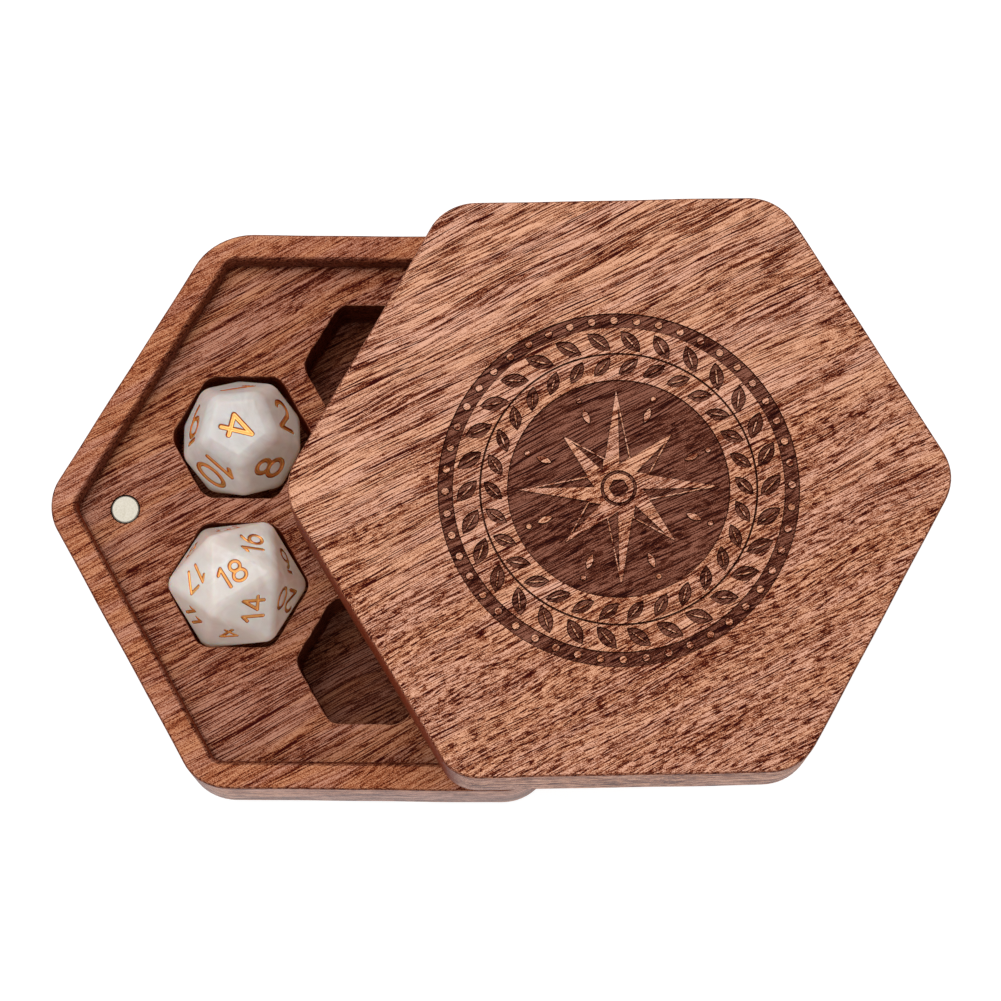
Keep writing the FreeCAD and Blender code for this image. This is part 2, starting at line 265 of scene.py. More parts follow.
tray_skin = Skin()
bottom_edge = [outer_ring(u, v, TRAY_CORNERS) for u, v in quarter_round(EDGE_ROUND)]
top_edge = [outer_ring(u, TRAY_TOP - v, TRAY_CORNERS) for u, v in quarter_round(EDGE_ROUND)][::-1]
rim_outside = outer_ring(EDGE_ROUND + MARGIN, TRAY_TOP, TRAY_CORNERS)
rim_grow = RECESS_ROUND + MARGIN
rim_inside = hexagon(RECESS_FLATS + 2 * rim_grow, RECESS_CORNER + rim_grow, TRAY_TOP)
recess_edge = [hexagon(RECESS_FLATS + 2 * u, RECESS_CORNER + u, TRAY_TOP - v,
                       waver=RECESS_WAVER, seed=RECESS_SEED)
               for u, v in quarter_round(RECESS_ROUND)]
recess_foot = hexagon(RECESS_FLATS, RECESS_CORNER, RECESS_FLOOR,
                      waver=RECESS_WAVER, seed=RECESS_SEED)
recess_floor = hexagon(RECESS_FLATS - 2 * PAINTED_SHADOW_STRIP, RECESS_CORNER, RECESS_FLOOR,
                       waver=OUTLINE_WAVER, seed=RECESS_SEED)
tray_skin.cap(bottom_edge[0], SANDED)
sides_of(tray_skin, bottom_edge, top_edge)
tray_skin.wrap([top_edge[-1], rim_outside, rim_inside, recess_edge[0]], SANDED)
# The recess's rounded edge and wall are darker: darker wood and painted shade together.
tray_skin.wrap(recess_edge[:2], DEEP)
tray_skin.wrap(recess_edge[1:] + [recess_foot], WALL)
# A strip of painted shadow on the floor along the foot of the recess wall.
tray_skin.wrap([recess_foot, recess_floor], DEEP)
tray_holes = [pocket(tray_skin, centre, RECESS_FLOOR, RECESS_FLOOR - POCKET_FLOOR, -1, seed)
              for seed, centre in enumerate(honeycomb_centres(), start=TRAY_POCKET_SEED)]
tray_holes += [magnet_hole(tray_skin, place[:2], RECESS_FLOOR, -1)
               for place in (tray_left, tray_right)]
tray_skin.plate(recess_floor, tray_holes, MILLED)
tray = tray_skin.piece("tray_wood")


class Socket:
    """An output socket on which arithmetic adds Math nodes."""

    def __init__(self, shader, output):
        self.shader, self.output = shader, output

    def math(self, operation, *values):
        return self.shader.node("Math", {"operation": operation}, *values)

    def __add__(self, other):
        return self.math("ADD", self, other)

    def __radd__(self, other):
        return self.math("ADD", other, self)

    def __sub__(self, other):
        return self.math("SUBTRACT", self, other)

    def __rsub__(self, other):
        return self.math("SUBTRACT", other, self)

    def __mul__(self, other):
        return self.math("MULTIPLY", self, other)

    def __rmul__(self, other):
        return self.math("MULTIPLY", other, self)

    def clamped(self):
        return self.math("MINIMUM", self.math("MAXIMUM", self, 0.0), 1.0)

    def between(self, low, high):
        """0 below low, 1 above high and a smooth step between them."""
        ends = {"interpolation_type": "SMOOTHSTEP"}
        return self.shader.node("MapRange", ends, self, low, high, 0.0, 1.0)


class Shader:
    """A new material whose nodes come from one method."""

    def __init__(self, name):
        self.material = bpy.data.materials.new(name)
        self.material.use_nodes = True
        self.tree = self.material.node_tree
        self.surface = self.tree.nodes["Principled BSDF"]

    def node(self, kind, settings=None, *values, out=0, **named):
        """Adds a node, sets it up, fills its sockets in order or by name and returns an output."""
        made = self.tree.nodes.new("ShaderNode" + kind)
        for key, value in (settings or {}).items():
            if key == "stops":
                self.set_stops(made.color_ramp, value)
            else:
                setattr(made, key, value)
        for key, value in list(enumerate(values)) + list(named.items()):
            self.fill(made.inputs[key], value)
        return Socket(self, made.outputs[out])

    def fill(self, socket, value):
        if isinstance(value, Socket):
            self.tree.links.new(value.output, socket)
        else:
            socket.default_value = value

    def mix(self, factor, first, second):
        """One colour fading into another; the colour sockets of this node go by number."""
        mixed = self.node("Mix", {"data_type": "RGBA"}, factor, out=2)
        self.fill(mixed.output.node.inputs[6], first)
        self.fill(mixed.output.node.inputs[7], second)
        return mixed

    def set_stops(self, ramp, stops):
        while len(ramp.elements) < len(stops):
            ramp.elements.new(0.5)
        for element, (place, colour) in zip(ramp.elements, stops):
            element.position = place
            element.color = srgb(*colour)

    def finish(self, **sockets):
        """Fills sockets of the surface shader, named with _ for a space."""
        for key, value in sockets.items():
            self.fill(self.surface.inputs[key.replace("_", " ")], value)
        return self.material


def srgb(red, green, blue):
    """A colour given as 0 to 255 display values, as linear RGBA."""
    shares = [channel / 255 for channel in (red, green, blue)]
    linear = [((share + 0.055) / 1.055) ** 2.4 if share > 0.04 else share / 12.92 for share in shares]
    return (*linear, 1.0)


END_GRAIN_AND_SHADE = (112, 40, 15)                # oil sinks in deep where the fibres end; also painted shade on the walls
CHARRED_EDGE = (44, 14, 4)
GRAIN_RISE = 0.06                        # how much the fibres climb along their run
RING_LEAN = 0.1                          # how much the growth rings lean from upright
PORE_ASPECT = 0.8                        # the width of a pore over its height


def wood(name, grain_turn, offset, stretch, cut, wear_and_sheen, plain, milled_and_shaded, engraved=None):
    """Oiled open-grained hardwood; its grain runs at grain_turn degrees from +X.

    Noise stretched along the grain gives broad bands, dark streaks and short pores. Their sum
    is the tone, from 0 in a pore to 1 in the palest wood, which a ramp turns into colour. Where
    cut times (x, y, 1) is high, the fibres rise steeply and the saw leaves their pores short.
    The wear, from 0 to 1, is how far sanding and handling have filled the pores of the outer faces,
    how much the hue drifts between brown and pink from one growth ring to the next, and how strong
    the painted sheen on the face at -Y is.
    """
    shader = Shader(name)

    def dot(vector, direction):
        """How far a vector reaches in a direction."""
        return shader.node("VectorMath", {"operation": "DOT_PRODUCT"}, vector, direction, out="Value")

    turn = math.radians(grain_turn)
    place = shader.node("TexCoord", out="Object")
    place = shader.node("VectorMath", {"operation": "SCALE"}, place, Scale=1 / MM)
    along = dot(place, (math.cos(turn), math.sin(turn), GRAIN_RISE))
    across = dot(place, (-math.sin(turn), math.cos(turn), RING_LEAN))
    height = shader.node("SeparateXYZ", None, place, out="Z") * PORE_ASPECT

    # Which way a face looks: side is 1 on the upright outer walls, sheen on the one at -Y, the only
    # face given a glossy coat, a painted sheen, and end_grain on the two that cut the fibres across.
    finish = shader.node("Attribute", {"attribute_name": "finish"}, out="Fac")
    normal = shader.node("NewGeometry", out="True Normal")
    upward = shader.node("SeparateXYZ", None, normal, out="Z")
    side = 1.0 - shader.node("Math", {"operation": "ABSOLUTE"}, upward).between(0.2, 0.9)
    side = side * (1.0 - finish.clamped())
    front = shader.node("SeparateXYZ", None, normal, out="Y") * -1.0
    sheen = side * front.between(0.4, 0.95)
    facing = dot(normal, (math.cos(turn), math.sin(turn), 0.0))
    end_grain = (facing * facing).between(0.4, 0.9)
    across = across * (1.0 - 0.75 * side)

    def grain(length, width, detail=2.0, rough=0.55, shift=0.0, bend=0.0):
        """Noise with cells of the given length along and width across the grain, in millimetres."""
        spot = shader.node("CombineXYZ", None, along * (1 / length / stretch) + offset + shift,
                           (across + bend) * (1 / width), height * (1 / width))
        return shader.node("TexNoise", {"noise_dimensions": "3D"}, Vector=spot, Scale=1.0,
                           Detail=detail, Roughness=rough)

    bend = 3.0 * (grain(30, 12, 1.0) - 0.5)
    bands = grain(60, 5, 2.0, shift=11, bend=bend)
    patches = grain(16, 7, 2.0, shift=23, bend=bend)
    streak = grain(14, 1.3, 2.0, 0.6, shift=37, bend=bend)
    line = grain(22, 0.28, 2.0, 0.5, shift=53, bend=bend)
    dash = grain(6, 0.24, 1.0, 0.5, shift=61, bend=bend)
    pore = grain(2.2, 0.19, 1.0, 0.5, shift=71, bend=bend)
    fleck = grain(2.1, 0.4, 1.0, 0.4, shift=83, bend=bend)
    speck = shader.node("TexNoise", None, Vector=place, Scale=5.5, Detail=1.0)

    # short is 1 where the pores are cut short, and thin moves the limits below, so that the
    # pores crowd in some patches and thin out in others.
    short = (patches + dot(place, (cut[0], cut[1], 0.0)) + cut[2]).between(0.4, 0.6) * (1.0 - side)
    thin = (0.09 * (patches - 0.5) + 0.07 * (streak - 0.5)) * (1.0 - 0.5 * short)
    dark = (0.86 - 0.46 * short) * (line + thin).between(0.52, 0.56)
    dark += (0.7 - 0.34 * short) * (dash + thin).between(0.54, 0.59)
    dark += (0.3 + 0.2 * short) * (pore + thin).between(0.53, 0.61)
    dark += 0.55 * short * (fleck + thin).between(0.55, 0.63)
    # A pale fringe beside each dark line: a painted highlight.
    dark -= (0.3 - 0.2 * short) * (line + thin).between(0.45, 0.50)
    filled = wear_and_sheen * (1.0 - finish.between(0.0, MILLED)) * (1.0 - side)
    tone = 0.965 - 0.03 * short + 0.4 * (bands - 0.5)
    tone -= (0.24 + 0.7 * side + 1.7 * sheen) * (streak - 0.5)
    tone += 1.9 * (speck - 0.5) - 0.3 * filled - dark * (1.0 - filled)

    colour = shader.node("ValToRGB", {"stops": plain}, tone)
    deep = shader.node("ValToRGB", {"stops": milled_and_shaded}, tone)
    # Faces with a finish above 0 fade to the inside colours: darker milled wood and painted shade
    # together.
    colour = shader.mix(finish.clamped(), colour, deep)
    # Walls across the grain turn darkest and every upright wall a little darker: darker end grain and
    # painted shade together.
    colour = shader.mix(0.78 * end_grain + 0.16 * side, colour, srgb(*END_GRAIN_AND_SHADE))
    tint = grain(45, 4.5, 2.0, shift=97, bend=bend).between(0.4, 0.6)
    spread = 0.04 + 0.09 * wear_and_sheen
    warmth = shader.mix(tint, (1.0 - 0.25 * spread, 1.0, 1.0 + spread, 1.0),
                        (1.0 + 0.5 * spread, 1.0, 1.0 - 2.0 * spread, 1.0))
    colour = shader.node("VectorMath", {"operation": "MULTIPLY"}, colour, warmth)
    if engraved:
        char = shader.node("ValToRGB", {"stops": engraved}, tone)
        colour = shader.mix(finish.between(ENGRAVED - 0.6, ENGRAVED - 0.4), colour, char)
        charred = finish.between(CHARRED - 0.6, CHARRED - 0.4)
        colour = shader.mix(charred, colour, srgb(*CHARRED_EDGE))
    bump = shader.node("Bump", None, Strength=0.35, Distance=0.12 * MM, Height=tone)
    return shader.finish(Base_Color=colour, Roughness=0.62 - 0.12 * tone, Normal=bump,
                         Specular_IOR_Level=0.06, Coat_Weight=(0.28 + 0.5 * wear_and_sheen) * sheen,
                         Coat_Roughness=0.35)


# Colours from a pore to the palest wood: on open faces, and on walls and dark strips, where darker
# wood and painted shade lie together.
TRAY_WOOD = [(0.0, (60, 2, 0)), (0.3, (108, 40, 13)), (0.6, (161, 93, 63)), (0.85, (187, 123, 93)),
             (1.0, (208, 149, 121))]
TRAY_INSIDE = [(0.0, (46, 8, 1)), (0.4, (67, 21, 8)), (0.7, (86, 34, 18)), (1.0, (112, 54, 34))]
tray.data.materials.append(wood("tray wood", grain_turn=29, offset=24.9, stretch=1.15,
                                cut=(0.002, 0.001, 0.0), wear_and_sheen=0.42,
                                plain=TRAY_WOOD, milled_and_shaded=TRAY_INSIDE))
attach(tray, "tray")
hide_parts("tray")

# ---------------------------------------------------------------------------
# Magnets: four nickel-plated discs. Two are glued flush into blind holes in the recess floor,
# and two into the holes that match them in the lid's tongue.
# ---------------------------------------------------------------------------


def nickel(name):
    """Bright nickel plating, a little clouded and finely scratched."""
    shader = Shader(name)
    place = shader.node("TexCoord", out="Object")
    cloud = shader.node("TexNoise", None, Vector=place, Scale=900.0, Detail=4.0, Roughness=0.6)
    speck = shader.node("TexNoise", None, Vector=place, Scale=4200.0, Detail=2.0)
    tone = 0.6 * cloud + 0.4 * speck
    colour = shader.node("ValToRGB", {"stops": [(0.3, (164, 157, 141)), (0.7, (206, 200, 187))]}, tone)
    bump = shader.node("Bump", None, Strength=0.2, Distance=0.04 * MM, Height=cloud)
    return shader.finish(Base_Color=colour, Metallic=0.6, Roughness=0.3 + 0.3 * cloud, Normal=bump)


plating = nickel("nickel plating")
for name in ("tray_magnet_left", "tray_magnet_right", "lid_magnet_left", "lid_magnet_right"):
    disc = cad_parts[name]
    disc.data.materials.clear()
    disc.data.materials.append(plating)

# ---------------------------------------------------------------------------
# Dice: cast pearl resin, tumbled round at its edges and polished. The numbers are sunk into
# the faces and filled with gold paint, dark brown at a groove's edges, which is paint and painted
# shade together, with a painted highlight partway in.
# ---------------------------------------------------------------------------
GROOVE_DEPTH = 0.3
GROOVE_SLOPE = 0.16


def arc(x, y, across, up, start, end, steps=14):
    """Points on an ellipse about (x, y) with half axes across and up, from start to end degrees."""
    a = np.radians(np.linspace(start, end, steps))
    return np.column_stack([x + across * np.cos(a), y + up * np.sin(a)])


def path(*corners):
    """A broken line through some corners."""
    return np.array(corners, float)


# Each figure is 1 high and stands on y = 0; the first number is its width.
FIGURES = {
    "0": (0.62, [arc(0.31, 0.5, 0.29, 0.5, 0, 360, 28)]),
    "1": (0.32, [path((0.24, 0), (0.24, 1), (0.0, 0.76))]),
    "2": (0.62, [arc(0.31, 0.71, 0.29, 0.29, 165, -35), path((0.54, 0.54), (0.02, 0), (0.64, 0))]),
    "3": (0.58, [arc(0.28, 0.76, 0.26, 0.24, 150, -90), arc(0.28, 0.27, 0.3, 0.27, 90, -150)]),
    "4": (0.66, [path((0.47, 0), (0.47, 1), (0.0, 0.3), (0.68, 0.3))]),
    "5": (0.6, [path((0.55, 1), (0.1, 1), (0.06, 0.55)), arc(0.28, 0.32, 0.31, 0.32, 130, -150)]),
    "6": (0.6, [arc(0.3, 0.31, 0.29, 0.31, 0, 360, 24), arc(0.62, 0.31, 0.61, 0.72, 180, 108)]),
    "7": (0.58, [path((0.0, 1), (0.58, 1), (0.2, 0))]),
    "8": (0.62, [arc(0.31, 0.76, 0.25, 0.24, 0, 360, 22), arc(0.31, 0.27, 0.31, 0.27, 0, 360, 24)]),
    "9": (0.6, [arc(0.3, 0.69, 0.29, 0.31, 0, 360, 24), arc(-0.02, 0.69, 0.61, 0.72, 0, -72)]),
}
FIGURE_GAP = 0.26
MARKED = ("6", "9")                      # these two carry a bar under them


def strokes(number):
    """The centre lines of a number, one unit high, centred on the origin."""
    lines, x = [], 0.0
    for digit in number:
        width, parts = FIGURES[digit]
        lines += [part + (x, 0) for part in parts]
        x += width + FIGURE_GAP
    if number in MARKED:
        lines.append(path((0.08, -0.2), (0.44, -0.2)))
    return [line - ((x - FIGURE_GAP) / 2, 0.5) for line in lines]


def distance_to(lines, spots):
    """The distance from each spot to the nearest of some broken lines."""
    best = np.full(len(spots), np.inf)
    for line in lines:
        for a, b in zip(line, line[1:]):
            share = np.clip((spots - a) @ (b - a) / max((b - a) @ (b - a), 1e-9), 0, 1)
            best = np.minimum(best, np.linalg.norm(spots - a - share[:, None] * (b - a), axis=1))
    return best


def nearest_in(polygon, spots):
    """The nearest point of a convex polygon to each spot; a spot inside it stays."""
    inside = np.ones(len(spots), bool)
    nearest, best = spots.copy(), np.full(len(spots), np.inf)
    for a, b in zip(polygon, np.roll(polygon, -1, axis=0)):
        side = b - a
        inside &= side[0] * (spots[:, 1] - a[1]) - side[1] * (spots[:, 0] - a[0]) >= 0
        share = np.clip((spots - a) @ side / (side @ side), 0, 1)
        foot = a + share[:, None] * side
        away = np.linalg.norm(spots - foot, axis=1)
        nearest = np.where((away < best)[:, None], foot, nearest)
        best = np.minimum(best, away)
    return np.where(inside[:, None], spots, nearest)


def smoothstep(value, low, high):
    """0 below low, 1 above high and 3 t^2 - 2 t^3 between them."""
    t = np.clip((value - low) / (high - low), 0, 1)
    return t * t * (3 - 2 * t)


def direction(tilt, turn):
    """The unit vector at an angle from +Z and an angle about Z, in degrees."""
    tilt, turn = math.radians(tilt), math.radians(turn)
    return np.array([math.sin(tilt) * math.cos(turn), math.sin(tilt) * math.sin(turn), math.cos(tilt)])


def face_axes(normal, normals, sides, up):
    """Rows x, y and normal of a face's own axes, with y towards the corner nearest to up.

    A neighbour's normal, laid into the face's plane, points to the middle of the shared side,
    and the corners stand half a side's turn from there.
    """
    closeness = normals @ normal
    neighbour = normals[np.argsort(closeness)[-2]]
    middle = neighbour - (neighbour @ normal) * normal
    middle /= np.linalg.norm(middle)
    turns = np.radians(180 / sides + 360 / sides * np.arange(sides))[:, None]
    corners = np.cos(turns) * middle + np.sin(turns) * np.cross(normal, middle)
    y = corners[np.argmax(corners @ up)]
    return np.array([np.cross(y, normal), y, normal])


# From the middle of a face to its corner, as a share of the middle's distance from the
# solid's centre; it is the same for the twelve-sided and the twenty-sided solid.
FACE_REACH = 3 - math.sqrt(5)


def die(name, node, sides, turn, faces, rounding, figure_height, groove_half, rows, columns):
    """A rounded regular solid with sunken numbers, where the CAD node lies.

    Each face is a grid of rings round its middle, scaled from the outline of the sharp face. A
    spot q of the sharp face goes to c + r (q - c) / |q - c|, where c is the nearest point of a
    smaller solid's face and r the rounding, and then sinks by the depth of a groove there.
    faces holds (tilt, turn, number, up) for each face, where up is the way the number's top
    points, seen from above. groove_half is half a groove's width, rows the number of rings and
    columns the number of points along one side of a ring.
    """
    low, high = node_box(node)
    half = (high[2] - low[2]) / 2
    centre = (low + high) / 2
    bend = np.radians(90 + 360 / sides * np.arange(sides))
    sharp = half * FACE_REACH * np.column_stack([np.cos(bend), np.sin(bend)])
    core = sharp * (half - rounding) / half
    share = np.linspace(0, 1, columns, endpoint=False)[:, None]
    rim = np.concatenate([a * (1 - share) + b * share
                          for a, b in zip(sharp, np.roll(sharp, -1, axis=0))])
    scale = np.linspace(0, 1, rows + 1)[1:, None, None]
    spots = np.vstack([[0, 0], (scale * rim).reshape(-1, 2)])

    base = nearest_in(core, spots)
    out = np.column_stack([spots - base, np.full(len(spots), rounding)])
    out /= np.linalg.norm(out, axis=1)[:, None]
    smooth = np.column_stack([base, np.full(len(spots), half - rounding)]) + rounding * out

    here = np.arange(len(rim))
    ahead = np.roll(here, -1)
    fan = np.column_stack([np.zeros_like(here), 1 + here, 1 + ahead]).tolist()
    strip = np.column_stack([here, here + len(rim), ahead + len(rim), ahead])
    strips = np.concatenate([1 + strip + len(rim) * n for n in range(rows - 1)]).tolist()

    normals = np.array([direction(tilt, turn + about) for tilt, about, _, _ in faces])
    points, polygons, paint = [], [], []
    for number, (normal, (_, _, text, up)) in enumerate(zip(normals, faces)):
        away = distance_to([line * figure_height for line in strokes(text)], spots)
        sunk = 1 - smoothstep(away, groove_half - GROOVE_SLOPE, groove_half)
        axes = face_axes(normal, normals, sides, direction(90, up))
        points.append(centre + (smooth - GROOVE_DEPTH * sunk[:, None] * out) @ axes)
        start = number * len(spots)
        polygons += [[start + i for i in face] for face in fan + strips]
        paint.append(np.clip(1 - away / (2 * groove_half), 0, 1))

    mesh = bpy.data.meshes.new(name)
    mesh.from_pydata((np.concatenate(points) * MM).tolist(), [], polygons)
    mesh.attributes.new("paint", "FLOAT", "POINT").data.foreach_set("value", np.concatenate(paint))
    return weld(name, mesh, sharp=180)


# Gold paint from the edge of a groove, where paint is 0.5, to its centre line, where it is 1. The
# dark brown at the edge is paint and painted shade from the groove's wall together, and the pale
# band partway in is a painted highlight.
GOLD = [(0.5, (112, 38, 0)), (0.61, (204, 106, 30)), (0.77, (250, 196, 116)),
        (0.96, (226, 148, 72))]
PEARL_TWELVE = [(0.34, (176, 177, 175)), (0.5, (184, 187, 187)), (0.64, (191, 196, 196))]
PEARL_TWENTY = [(0.34, (192, 190, 187)), (0.5, (199, 200, 197)), (0.62, (209, 213, 212))]

# A painted glow: the resin gives off these shares of its own colour, standing in for the warm light
# that seeps through it from the wood round it.
PAINTED_GLOW_SHARES = (1.0, 0.49, 0.26)


def resin(name, swirls, stops):
    """Pearl resin with cloudy swirls, swirls to the metre, gold paint in the grooves and a painted warm
    glow.
    """
    shader = Shader(name)
    place = shader.node("TexCoord", out="Object")
    drift = shader.node("TexNoise", None, Vector=place, Scale=120.0, Detail=2.0, out="Color")
    bent = shader.node("VectorMath", {"operation": "MULTIPLY_ADD"}, drift, (0.012,) * 3, place)
    cloud = shader.node("TexNoise", None, Vector=bent, Scale=swirls, Detail=4.0, Roughness=0.6,
                        Distortion=0.5)
    vein = shader.node("TexNoise", None, Vector=bent, Scale=swirls * 2.4, Detail=2.0,
                       Distortion=1.0)
    tone = 0.7 * cloud + 0.3 * vein
    body = shader.node("ValToRGB", {"stops": stops}, tone)
    paint = shader.node("Attribute", {"attribute_name": "paint"}, out="Fac")
    gold = shader.node("ValToRGB", {"stops": GOLD}, paint)
    gilt = paint.between(0.47, 0.53)
    colour = shader.mix(gilt, body, gold)
    # A painted glow: the resin gives off a warm share of its own colour, though it is no lamp; the gold
    # does not.
    warm = shader.node("VectorMath", {"operation": "MULTIPLY"}, body, PAINTED_GLOW_SHARES)
    glow = shader.mix(gilt, warm, (0.0, 0.0, 0.0, 1.0))
    return shader.finish(Base_Color=colour, Roughness=0.2 + 0.2 * gilt, Metallic=0.6 * gilt,
                         Emission_Color=glow, Emission_Strength=0.2,
                         Subsurface_Weight=0.7, Subsurface_Scale=6 * MM)


# How far the faces round the top face lean from it. The second row of the twenty-sided solid
# lies lower, TWENTY_SPREAD to either side of the first row's faces.
TWELVE_LEAN = math.degrees(math.atan(2))
TWENTY_LEAN = math.degrees(math.acos(math.sqrt(5) / 3))
TWENTY_LOW_LEAN = math.degrees(math.acos(1 / 3))
TWENTY_SPREAD = math.degrees(math.acos(math.sqrt(5 / 8)))

TWELVE_FACES = [(0, 0, "4", -11)]
TWELVE_FACES += [(TWELVE_LEAN, 72 * k, text, up) for k, text, up in
                 ((0, "2", 131), (1, "1", 5), (2, "6", 71), (3, "10", -35), (4, "8", 175))]
TWELVE_FACES += [(180 - TWELVE_LEAN, 180 + 72 * k, text, 0)
                 for k, text in enumerate(("11", "12", "7", "3", "5"))]
TWELVE_FACES += [(180, 0, "9", 0)]
twelve = die("twelve_sided_resin", "twelve_sided_die", sides=5, turn=23.0, faces=TWELVE_FACES,
             rounding=2.9, figure_height=5.6, groove_half=0.5, rows=52, columns=30)
twelve.data.materials.append(resin("pearl resin of the twelve", 150.0, PEARL_TWELVE))

TWENTY_FACES = [(0, 0, "18", 121)]
TWENTY_FACES += [(TWENTY_LEAN, 120 * k, text, up) for k, text, up in
                 ((0, "16", 180), (1, "17", 296), (2, "14", 180))]
TWENTY_FACES += [(TWENTY_LOW_LEAN, about, text, up) for about, text, up in
                 ((-TWENTY_SPREAD, "9", 120), (TWENTY_SPREAD, "13", 0), (120 - TWENTY_SPREAD, "8", 60),
                  (120 + TWENTY_SPREAD, "11", -11), (240 - TWENTY_SPREAD, "4", 200),
                  (240 + TWENTY_SPREAD, "20", -107))]
TWENTY_FACES += [(180 - tilt, about + 180, text, 0) for (tilt, about, _, _), text in
                 zip(TWENTY_FACES[:10], ("3", "5", "2", "7", "12", "1", "15", "10", "19", "6"))]
twenty = die("twenty_sided_resin", "twenty_sided_die", sides=3, turn=62.5, faces=TWENTY_FACES,
             rounding=2.6, figure_height=3.7, groove_half=0.32, rows=42, columns=36)
twenty.data.materials.append(resin("pearl resin of the twenty", 110.0, PEARL_TWENTY))

for piece, node in ((twelve, "twelve_sided_die"), (twenty, "twenty_sided_die")):
    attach(piece, node)
    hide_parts(node)

# ---------------------------------------------------------------------------
# Lid: a second block of paler wood, with a tongue for the tray's recess and seven pockets that
# take the tops of the dice. A compass medallion is burnt a little way into its top.
# ---------------------------------------------------------------------------
LID_CORNERS = (9, 9, 9, 9, 7, 9)         # the front left corner is sanded less
TONGUE_GAP = 0.3
TONGUE_FLATS = RECESS_FLATS - 2 * TONGUE_GAP
TONGUE_EASE = 0.4
LID_POCKET_DEPTH = 13.0
ENGRAVING_DEPTH = 0.3
ENGRAVING_SLOPE = 0.14
LID_POCKET_SEED = 40

# The lid is shaped round the origin, with the face that meets the tray's rim at z = 0, and
# then laid where its two magnets are.
lid_left, lid_right = (sum(node_box(f"lid_magnet_{side}")) / 2 for side in ("left", "right"))
LID_LOW, LID_HIGH = node_box("lid")[0][2], node_box("lid")[1][2]
LID_CENTRE = (lid_left + lid_right) / 2
LID_TURN = math.atan2(lid_right[1] - lid_left[1], lid_right[0] - lid_left[0])
TONGUE_HEIGHT = 3.5
RIM_FACE = LID_LOW + TONGUE_HEIGHT

MEDALLION_CENTRE = np.array([-0.12, -1.12])
BAND_EDGES = (30.7, 28.1, 23.65, 23.3, 18.9)       # radii of the burnt and the bare bands
BEADS, BEAD_RING, BEAD = 48, 29.4, 0.6
LEAVES = 30
LEAF_ROWS = ((25.75, 46, 5.0, 2.5), (21.3, -46, 4.4, 2.1))      # radius, lean, length, width
VEIN_WIDTH = 0.26
LONG_POINT, SHORT_POINT = 16.9, 13.0
NOTCH, RIDGE_FOOT, RIDGE_INSET = 5.6, 3.6, 0.22


def leaf(length, width, steps=14):
    """A pointed leaf along +X: half widths (1 - t^2) for t from -1 to 1 along it."""
    t = np.linspace(-1, 1, steps + 1)
    upper = np.column_stack([t * length / 2, width / 2 * (1 - t * t)])
    return np.vstack([upper, upper[::-1][1:-1] * (1, -1)])


def placed(outline, radius, turn, lean=0.0):
    """An outline leaned by some degrees, moved out to a radius and turned about the centre."""
    lean, turn = math.radians(turn + lean), math.radians(turn)
    swing = np.array([[math.cos(lean), math.sin(lean)], [-math.sin(lean), math.cos(lean)]])
    return outline @ swing + radius * np.array([math.cos(turn), math.sin(turn)])


def shrunk(triangle, inset):
    """A triangle with its sides moved in, about the centre of its inner circle."""
    a, b, c = triangle
    sides = np.array([np.linalg.norm(b - c), np.linalg.norm(c - a), np.linalg.norm(a - b)])
    middle = sides @ triangle / sides.sum()
    area = abs((b - a)[0] * (c - a)[1] - (b - a)[1] * (c - a)[0]) / 2
    inner = 2 * area / sides.sum()
    return middle + (triangle - middle) * (inner - inset) / inner


def ray(radius, turn):
    """The point at a radius, turned by some degrees from +X."""
    return radius * np.array([math.cos(math.radians(turn)), math.sin(math.radians(turn))])


def medallion():
    """Closed outlines of a compass rose in a leaf wreath; a spot inside an odd number is burnt."""
    figures = [circle(r, steps=180)[:, :2] for r in BAND_EDGES]
    figures += [placed(circle(BEAD, steps=20)[:, :2], BEAD_RING, 360 / BEADS * k) for k in range(BEADS)]
    for k in range(LEAVES):
        for radius, lean, length, width in LEAF_ROWS:
            figures.append(placed(leaf(length, width), radius, 360 / LEAVES * k, lean))
            figures.append(placed(leaf(length * 0.6, VEIN_WIDTH), radius, 360 / LEAVES * k, lean))
    # The star of eight points; one half of each is burnt again, and a drop and a dot stand
    # between each two of them.
    tips = [LONG_POINT if k % 2 == 0 else SHORT_POINT for k in range(8)]
    star = [ray(r, 45 * k + turn)
            for k, tip in enumerate(tips) for r, turn in ((tip, 0), (NOTCH, 22.5))]
    figures.append(np.array(star))
    for k, tip in enumerate(tips):
        half = np.array([ray(tip, 45 * k), ray(NOTCH, 45 * k - 22.5), ray(RIDGE_FOOT, 45 * k)])
        figures.append(shrunk(half, RIDGE_INSET))
        figures.append(placed(leaf(2.6, 1.0), 13.6, 45 * k + 22.5))
        figures.append(placed(circle(0.42, steps=16)[:, :2], 16.6, 45 * k + 22.5))
    figures += [circle(3.1, steps=48)[:, :2], circle(2.5, steps=48)[:, :2]]
    figures.append(np.array([ray(1.7, 60 * k) for k in range(6)]))
    return [figure + MEDALLION_CENTRE for figure in figures]


